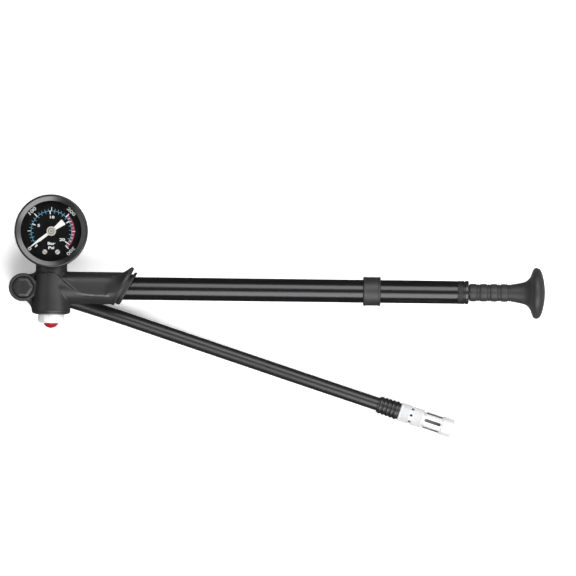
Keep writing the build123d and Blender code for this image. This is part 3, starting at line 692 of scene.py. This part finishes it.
# ---- head ---------------------------------------------------------------------------------------
def add_head():
    """Moulded head. The flat on the sleeve's front melts into its sides, apart from its lower crease, which is a
    raised
    line with a painted highlight: a lighter, glossier finish on its faces."""
    front_z = 4.5
    lip_x, lip_slant, lip_clear = 46.3, math.radians(28.7), 1.3
    flat_low, flat_high, flat_from = -3.3, 10.2, 16.5
    ridge_from, ridge_to, ridge_fade = 15.4, 39.5, 4.0
    ridge_height, ridge_width, ridge_z = 0.34, 0.5, 6.0
    ridge_y, ridge_rise, ridge_bend = -5.4, 3.07, 5.5
    mesh = softened("head_body", 0.36, 6)
    work = bmesh.new()
    work.from_mesh(mesh)
    flat, diagonal = [], []
    for vert in work.verts:
        x, y, z = (vert.co - ORIGIN) / MM
        before_lip = (lip_x - x) * math.cos(lip_slant) + y * math.sin(lip_slant)
        across = x + 0.9 * y
        if z > front_z and before_lip > lip_clear and flat_low < y < flat_high and across > flat_from:
            flat.append(vert)
        elif z > front_z and -3.6 < y < 6.0 and flat_from - 4.5 < across <= flat_from and x > 8.5:
            diagonal.append(vert)
    for verts, rounds in ((flat, 200), (diagonal, 14)):
        for _ in range(rounds):
            bmesh.ops.smooth_vert(work, verts=verts, factor=0.5, use_axis_x=True, use_axis_y=True, use_axis_z=True)

    def off_ridge(x, y):
        return y - ridge_y - ridge_rise * math.exp((ridge_from - x) / ridge_bend)

    for vert in work.verts:
        x, y, z = (vert.co - ORIGIN) / MM
        if z > ridge_z and ridge_from < x < ridge_to and abs(off_ridge(x, y)) < 4 * ridge_width:
            fade = min(1.0, (x - ridge_from) / ridge_fade, (ridge_to - x) / ridge_fade)
            vert.co.z += ridge_height * fade * math.exp(-(off_ridge(x, y) / ridge_width) ** 2) * MM
    work.to_mesh(mesh)
    work.free()
    mesh.shade_smooth()
    piece("moulded_head", mesh, "head_plastic", "pump", ["head_body"])

    def on_ridge(x, y, z):
        x, y, z = Vector((x, y, z)) - ORIGIN / MM
        return z > ridge_z and ridge_from + 1 < x < ridge_to - 0.5 and abs(off_ridge(x, y)) < ridge_width

    # Painted highlight on the ridge's faces.
    second_finish(mesh, "ridge_highlight_plastic", on_ridge)


def add_swivel():
    piece("swivel_ring", softened("swivel_fitting", 0.26, 5), "fitting_black", "hose_arm", ["swivel_fitting"])


def add_bolt():
    """Hollow bolt with a round flange, a six-sided crowned head and the grooves of its shank."""
    apothem, corner_r, flange_r, shank_r = 6.35, 6.95, 7.4, 3.5
    seat, flange_top = 2.2, 4.9
    grooves = [(-20.7, -19.7, 2.9), (-18.5, -17.5, 2.6), (-12.5, -11.5, 2.6), (-4.5, -3.5, 2.6)]
    foot, top = station("swivel_bolt", 2)

    def shape(angle, place, radius):
        if place < flange_top + 0.02 or radius < shank_r + 0.1:
            return radius
        off = (angle + math.pi / 6) % (math.pi / 3) - math.pi / 6
        flat = apothem / math.cos(off - math.copysign(math.pi / 6, off))
        return min(radius, flat * radius / corner_r) if radius < corner_r else min(radius, flat)

    outline = [(foot, 0), (foot, shank_r, 0.4)]
    for low, high, floor_r in grooves:
        outline += [(low, shank_r, 0.1), (low, floor_r, 0.1), (high, floor_r, 0.1), (high, shank_r, 0.1)]
    outline += [(seat, shank_r, 0), (seat, flange_r, 0.2), (flange_top, flange_r, 0.25), (flange_top, 7.0, 0),
                (flange_top + 0.03, corner_r, 0), (top - 0.75, corner_r, 0.25), (top - 0.25, 5.9, 0.4),
                (top, 4.9, 0.3), (top, 4.2, 0), (top, 0)]
    mesh = turned("hex_bolt", rounded(outline, 0.2), 180, False, shape)
    piece("hex_bolt", mesh, "bolt_black", "pump", ["swivel_bolt"], Matrix.Translation(at(BOSS_X)))


def add_bleed_valve():
    """Plated ring nut with four wrench flats under the column, and its domed button."""
    nut_r, button_r = spread("bleed_nut").x / 2, spread("bleed_button").x / 2
    flat_r = nut_r * math.cos(math.radians(16.5))
    thread_r, thread_y, stem_r, spring_y = 6.0, -10.0, 1.8, -19.4
    nut = rounded([(NUT_Y, button_r + 0.05), (NUT_Y, nut_r - 1.4, 0.5), (NUT_Y + 0.5, nut_r - 0.4, 0.5),
                   (NUT_Y + 1.6, nut_r, 0.6), (CUP_Y - 0.9, nut_r), (CUP_Y - 0.7, nut_r - 0.25),
                   (CUP_Y - 0.4, nut_r - 0.25), (CUP_Y - 0.2, nut_r), (CUP_Y, nut_r), (CUP_Y, thread_r),
                   (thread_y, thread_r), (thread_y, stem_r), (spring_y, stem_r), (spring_y, button_r + 0.05)],
                  0.2, True)

    def flats(angle, place, radius):
        if place > CUP_Y - 1.0 or radius < 8.0:
            return radius
        return min(radius, flat_r / math.cos(angle % (math.pi / 2) - math.pi / 4))

    mesh = turned("plated_nut", nut, 192, True, flats)
    mesh.set_sharp_from_angle(angle=math.radians(12))
    piece("plated_nut", mesh, "chrome_plate", "pump", ["bleed_nut"], along_column())
    dome, bits = 2.8, 14
    sphere_r = (button_r ** 2 + dome ** 2) / (2 * dome)
    outer = []
    for k in range(bits + 1):
        r = button_r * math.sin(math.pi / 2 * k / bits)
        outer.append((BUTTON_Y + sphere_r - math.sqrt(sphere_r ** 2 - r ** 2), r))
    rim_y, cup_y, cup_r = -21.8, -25.4, 3.6
    tail = rounded([(BUTTON_Y + dome + 0.1, button_r), (rim_y, button_r), (rim_y, cup_r), (cup_y, cup_r),
                    (cup_y, 0)], 0.15)
    mesh = turned("release_button", outer + tail, 96, False)
    piece("release_button", mesh, "red_plastic", "bleed_valve", ["bleed_button"], along_column())


# ---- gauge --------------------------------------------------------------------------------------
def add_gauge_body():
    """Gauge cup with the hole for its stem, and the bezel rolled over it."""
    case_r, back, bore, wall, duct_r = spread("gauge_case").x / 2, HEAD_BACK_Z, 21.4, 1.2, 4.9
    cup = rounded([(back, 0), (back, case_r - wall, 1.0), (back + wall, case_r, 1.0), (11.5, case_r), (11.5, bore),
                   (back + wall, bore), (back + wall, 0)], 0.2)
    drill = bmesh.new()
    place = Matrix.Translation((0, -case_r * MM, 0)) @ Matrix.Rotation(math.pi / 2, 4, "X")
    add_drill(drill, duct_r, 8, 40, place)
    mesh = cut_away("gauge_cup", turned("gauge_cup", cup, 160, False), drill)
    piece("gauge_cup", mesh, "case_metal", "pump", ["gauge_case"], at_gauge())
    bezel_r, inner_r = spread("gauge_bezel").x / 2, 22.62
    bezel = rounded([(9.5, inner_r), (9.5, bezel_r - 0.5), (10.0, bezel_r), (16.4, bezel_r, 0.4),
                     (17.2, bezel_r - 0.35, 0.5), (BEZEL_Z, bezel_r - 0.9, 0.3), (BEZEL_Z, bezel_r - 1.15, 0.15),
                     (BEZEL_Z - 0.15, bezel_r - 1.3, 0.1), (16.1, 20.4, 0.25), (LENS_Z, 20.35), (LENS_Z, inner_r)],
                    0.15, True)
    mesh = turned("rolled_bezel", bezel, 192)
    piece("rolled_bezel", mesh, "bezel_metal", "pump", ["gauge_bezel"], at_gauge())
    second_finish(mesh, "bezel_rim", lambda x, y, z: math.hypot(x, y) > bezel_r - 1.2)


def add_lens():
    radius, back = spread("gauge_lens").x / 2, LENS_Z - 1.8
    profile = rounded([(back, 0), (back, radius), (LENS_Z, radius), (LENS_Z, 0)], 0.2)
    mesh = turned("window", profile, 128, False)
    piece("window", mesh, "lens", "pump", ["gauge_lens"], at_gauge())


def plate(work, outline, low, high):
    """Closed flat plate from an outline, anticlockwise, between two heights."""
    bottom = [work.verts.new((x * MM, y * MM, low * MM)) for x, y in outline]
    top = [work.verts.new((x * MM, y * MM, high * MM)) for x, y in outline]
    work.faces.new(reversed(bottom))
    work.faces.new(top)
    for k in range(len(outline)):
        n = (k + 1) % len(outline)
        work.faces.new([bottom[k], bottom[n], top[n], top[k]])


PRINT = 0.03                   # thickness of the dial's ink
ZERO_ANGLE = 225.0             # where both scales start, anticlockwise from +X
PSI_STEP = 0.9                 # degrees for one psi
BAR_STEP = 14.5038 * PSI_STEP  # degrees for one bar
LETTER_WIDTH = 1.5             # how much the lettering is widened


def polar(radius, degrees):
    a = math.radians(degrees)
    return (radius * math.cos(a), radius * math.sin(a))


def tick(work, degrees, inner, outer, width):
    """Adds one mark between two radii."""
    ux, uy = polar(1, degrees)
    px, py = -uy * width / 2, ux * width / 2
    outline = [(ux * inner - px, uy * inner - py), (ux * outer - px, uy * outer - py),
               (ux * outer + px, uy * outer + py), (ux * inner + px, uy * inner + py)]
    plate(work, outline, DIAL_Z, DIAL_Z + PRINT)


def arc_band(work, first, last, inner, outer, height):
    """Adds a band between two radii, from the first angle clockwise to the last, in plates of about 3 degrees."""
    steps = max(2, round(abs(first - last) / 3))
    angles = [first + (last - first) * k / steps for k in range(steps + 1)]
    for a, b in zip(angles, angles[1:]):
        plate(work, [polar(inner, b), polar(outer, b), polar(outer, a), polar(inner, a)], DIAL_Z, DIAL_Z + height)


def lettering(work, text, size, radius, degrees, turn, weight=0.0):
    """Adds raised lettering, centred at a polar place on the dial; weight fattens its strokes."""
    curve = bpy.data.curves.new("lettering", "FONT")
    curve.body = text
    curve.size = size
    curve.align_x, curve.align_y = "CENTER", "CENTER"
    curve.extrude = PRINT / 2
    curve.offset = weight
    curve.resolution_u = 3
    holder = bpy.data.objects.new("lettering", curve)
    bpy.context.scene.collection.objects.link(holder)
    bpy.context.view_layer.update()
    mesh = bpy.data.meshes.new_from_object(holder.evaluated_get(bpy.context.evaluated_depsgraph_get()))
    bpy.data.objects.remove(holder)
    x, y = polar(radius, degrees)
    place = Matrix.Translation((x, y, DIAL_Z + PRINT / 2)) @ Matrix.Rotation(math.radians(turn), 4, "Z")
    mesh.transform(Matrix.Scale(MM, 4) @ place @ Matrix.Diagonal((LETTER_WIDTH, 1, 1, 1)))
    work.from_mesh(mesh)


def add_dial():
    """Printed psi scale outside and bar scale inside a thin blue arc, with a red band from 200 psi."""
    white, blue, red = bmesh.new(), bmesh.new(), bmesh.new()
    arc_band(blue, ZERO_ANGLE, -45, 13.45, 13.8, PRINT * 0.8)
    arc_band(red, 44, -44.5, 14.1, 15.8, PRINT * 0.7)
    for psi in range(0, 301, 10):
        degrees = ZERO_ANGLE - PSI_STEP * psi
        if psi == 0:
            tick(white, degrees, 13.2, 15.3, 0.9)
        elif psi % 100 == 0:
            tick(white, degrees, 13.6, 16.6, 0.66)
        elif psi % 50 == 0:
            tick(white, degrees, 13.8, 16.2, 0.42)
        else:
            tick(white if psi > 200 else blue, degrees, 13.8, 15.2, 0.36)
    for bar in range(1, 21):
        degrees = ZERO_ANGLE - BAR_STEP * bar
        if bar % 5 == 0:
            tick(white, degrees, 11.4, 13.9, 0.66)
        else:
            tick(blue, degrees, 12.1, 13.45, 0.42)
    for text, psi in (("0", 6), ("100", 100), ("200", 200), ("300", 300)):
        degrees = ZERO_ANGLE - PSI_STEP * psi
        lettering(white, text, 3.1, 18.7, degrees, degrees - 90, 0.11)
    for text, size, degrees in (("5", 2.5, 157), ("10", 2.5, 89), ("15", 1.9, 33), ("20", 2.5, -38)):
        lettering(white, text, size, 9.3, degrees, 0, 0.07)
    lettering(white, "Bar", 2.5, 8.4, -90, 0, 0.08)
    lettering(white, "Psi", 2.5, 11.3, -90, 0, 0.08)
    for name, work, material in (("scale_white", white, "print_white"), ("scale_blue", blue, "print_blue"),
                                 ("scale_red", red, "print_red")):
        mesh = bpy.data.meshes.new(name)
        work.to_mesh(mesh)
        work.free()
        piece(name, mesh, material, "pump", (), at_gauge())


def slotted(name, mesh, length, width, depth, top, turn):
    """Mesh of a screw head with a slot milled across its top."""
    cut = bmesh.new()
    bmesh.ops.create_cube(cut, size=1)
    bmesh.ops.scale(cut, vec=(length * MM, width * MM, 2 * depth * MM), verts=cut.verts)
    bmesh.ops.rotate(cut, cent=(0, 0, 0), matrix=Matrix.Rotation(math.radians(turn), 3, "Z"), verts=cut.verts)
    bmesh.ops.translate(cut, vec=(0, 0, top * MM), verts=cut.verts)
    return cut_away(name, mesh, cut)


def add_dial_screws():
    """Two slotted screws below the lettering."""
    foot, top, shank_r, head_r = DIAL_Z - 2.8, DIAL_Z + 0.7, 0.78, 1.65
    screw_x, screw_y = 4.3, -14.0
    both = bmesh.new()
    for side in (-1, 1):
        head = rounded([(foot, 0), (foot, shank_r), (DIAL_Z, shank_r), (DIAL_Z, head_r, 0.1),
                        (DIAL_Z + 0.45, head_r, 0.25), (top, 1.2, 0.3), (top, 0)], 0.1)
        mesh = slotted("screw", turned("screw", head, 48, False), 3.6, 0.42, 0.4, top, 40 * side)
        mesh.transform(Matrix.Translation((side * screw_x * MM, screw_y * MM, 0)))
        both.from_mesh(mesh)
    screws = bpy.data.meshes.new("slotted_screws")
    both.to_mesh(screws)
    both.free()
    finish_mesh(screws)
    piece("slotted_screws", screws, "hub_ivory", "pump", ["dial_screws"], at_gauge())
    # Painted shade in the screws' slots.
    second_finish(screws, "groove_shade", lambda x, y, z: (DIAL_Z + 0.2 < z < top - 0.02
                                                         and math.hypot(abs(x) - screw_x, y - screw_y) < 1.1))


def add_pointer_hub():
    """Ivory hub with a ring groove and a centre dimple, both darkened with painted shade."""
    foot, top = 11.9, 13.0
    hub = rounded([(foot, 0), (foot, 3.2), (12.5, 3.2, 0.25), (12.8, 2.9, 0.2), (12.8, 2.2, 0.15),
                   (12.4, 2.05, 0.05), (12.4, 1.75, 0.05), (12.75, 1.6, 0.1), (12.75, 0.9, 0.1), (12.5, 0.8, 0.1),
                   (12.5, 0.5, 0.1), (top, 0.35, 0.1), (top, 0)], 0.1)
    mesh = turned("hub_cap", hub, 64, False)
    piece("hub_cap", mesh, "hub_ivory", "pointer", ["pointer_hub"], at_gauge())

    def in_groove(x, y, z):
        out = math.hypot(x, y)
        return z > 12.2 and (1.6 < out < 2.15 or 0.4 < out < 0.85)

    # Painted shade in the hub's ring groove and dimple.
    second_finish(mesh, "groove_shade", in_groove)


# ---- barrel and handle --------------------------------------------------------------------------
def add_barrel():
    bore = 6.35
    outline = [(BARREL_X0, bore), (BARREL_X0, BARREL_R), (BARREL_X1, BARREL_R), (BARREL_X1, bore)]
    mesh = turned("anodised_tube", rounded(outline, 0.3, True), 192)
    piece("anodised_tube", mesh, "barrel_black", "pump", ["barrel_tube"], along_barrel())


def add_end_cap():
    """Barrel end cap: a knurled band, a groove and a plain rim."""
    crest, count, band, bore, inner_r, groove_r = 7.95, 34, (275.25, 278.55), 4.7, 6.3, 7.3
    shape, pitch = diamond_knurl([band], crest, count, 0.5)
    start, end = station("barrel_end_cap", 0)
    front = rounded([(start, bore), (start, inner_r), (BARREL_X1, inner_r, 0), (BARREL_X1, 7.6, 0.1),
                     (275.0, crest, 0.1), (275.15, crest)], 0.15)
    back = rounded([(278.65, crest), (278.85, crest), (279.15, 7.7), (279.15, groove_r), (279.65, groove_r),
                    (279.65, 7.7), (280.0, 7.9), (281.6, 7.9), (end, 7.4), (end, bore)], 0.12)
    mesh = turned("knurled_cap", front + band_rows(*band, crest, pitch) + back, count * 6, True, shape)
    piece("knurled_cap", mesh, "cap_black", "pump", ["barrel_end_cap"], along_barrel())


def add_rod():
    x0, x1 = station("piston_rod", 0)
    spigot_x, spigot_r, rod_r = 30.0, 2.0, 3.5
    outline = [(x0, 0), (x0, spigot_r), (spigot_x, spigot_r), (spigot_x, rod_r), (x1, rod_r), (x1, 0)]
    mesh = turned("sliding_rod", rounded(outline, 0.25), 96, False)
    piece("sliding_rod", mesh, "rod_steel", "plunger", ["piston_rod"], along_barrel())


def add_palm_grip():
    """Soft handle: crowned rings along the neck, then a flare into a domed pad."""
    stations = [HANDLE_X, 288.6, 295.7, 302.6, 309.7]
    neck_r, crown, groove, socket_r, bits = 5.72, 0.36, 0.85, 3.55, 10
    valley, between = neck_r - 0.3, neck_r + 0.02
    edge = [(HANDLE_X, socket_r), (HANDLE_X, valley)]
    for x0, x1 in zip(stations, stations[1:]):
        first = x0 + (groove if x0 > HANDLE_X else 0)
        last = x1 - groove
        for k in range(1, bits):
            t = k / bits
            edge.append((first + (last - first) * t, neck_r + crown * (4 * t * (1 - t)) ** 0.5 - 0.05))
        edge += [(last + 0.02, valley), (last + 0.2, valley), (last + 0.38, between),
                 (x1 + groove - 0.38, between), (x1 + groove - 0.2, valley), (x1 + groove - 0.02, valley)]
    flare = smooth_curve([(310.6, 5.8), (312.2, 6.02), (316.9, 6.86), (321.0, 8.1), (323.7, 10.9), (325.0, 14.4),
                          (326.1, 16.6), (327.7, GRIP_R), (329.4, 16.85), (330.6, 15.9), (331.9, 13.0),
                          (333.0, 8.5), (333.6, 4.0), (GRIP_END_X, 0.0)], 7)
    inside = [(330.0, 0), (330.0, 13.2), (326.8, 13.2), (325.6, 6.5), (322.0, 4.8), (283.2, 4.8),
              (283.2, socket_r)]
    skin = bpy.data.meshes.new("palm_pad")
    work = bmesh.new()
    work.from_mesh(turned("palm_skin", edge + flare, 160, False))
    work.from_mesh(turned("grip_socket", inside, 96, False))
    bmesh.ops.recalc_face_normals(work, faces=work.faces)
    work.to_mesh(skin)
    work.free()
    finish_mesh(skin)
    piece("palm_pad", skin, "grip_rubber", "plunger", ["palm_grip"], along_barrel())


def add_clip():
    piece("parking_clip", softened("hose_clip", 0.24, 4), "clip_plastic", "pump", ["hose_clip"])


# ---- the rest of the CAD nodes ------------------------------------------------------------------
CAD_FINISHES = {
    "lens_gasket": "black_rubber", "gauge_dial": "dial_face",
    "gauge_stem": "brass_parts", "stem_washer": "brass_parts", "bourdon_tube": "bronze_tube",
    "tube_tip": "brass_parts", "movement_base": "brass_parts", "movement_bridge": "brass_parts",
    "pinion_arbor": "steel_parts", "sector_gear": "brass_parts", "sector_arbor": "steel_parts",
    "movement_link": "steel_parts", "pointer": "pointer_white", "barrel_o_ring": "black_rubber",
    "rod_bush": "bush_plastic", "piston": "piston_alloy", "piston_seal": "black_rubber",
    "handle_core": "core_plastic", "valve_seat": "brass_parts", "check_poppet": "brass_parts",
    "check_spring": "steel_parts", "bleed_stem": "brass_parts", "bleed_seal": "black_rubber",
    "bleed_spring": "steel_parts", "bolt_o_rings": "black_rubber", "swivel_circlip": "steel_parts",
    "chuck_stem": "fitting_black", "stem_o_ring": "black_rubber", "valve_pin": "steel_parts",
    "seal_carrier": "fitting_black", "valve_gasket": "black_rubber",
}

add_camera()
add_lights()
add_floor()
add_backdrop()
MATERIALS = make_materials()
air_hose = add_hose()
on_hose = [add_ferrule(), add_collar(), add_valve_sleeve()]
on_hose += [frame["nodes"][n] for n in ("chuck_stem", "stem_o_ring", "valve_pin", "seal_carrier", "valve_gasket")]
for build in (add_head, add_swivel, add_bolt, add_bleed_valve, add_gauge_body, add_lens, add_dial,
              add_dial_screws, add_pointer_hub, add_barrel, add_end_cap, add_rod, add_palm_grip, add_clip):
    build()
for cad_node, finish in CAD_FINISHES.items():
    repaint(cad_node, finish)
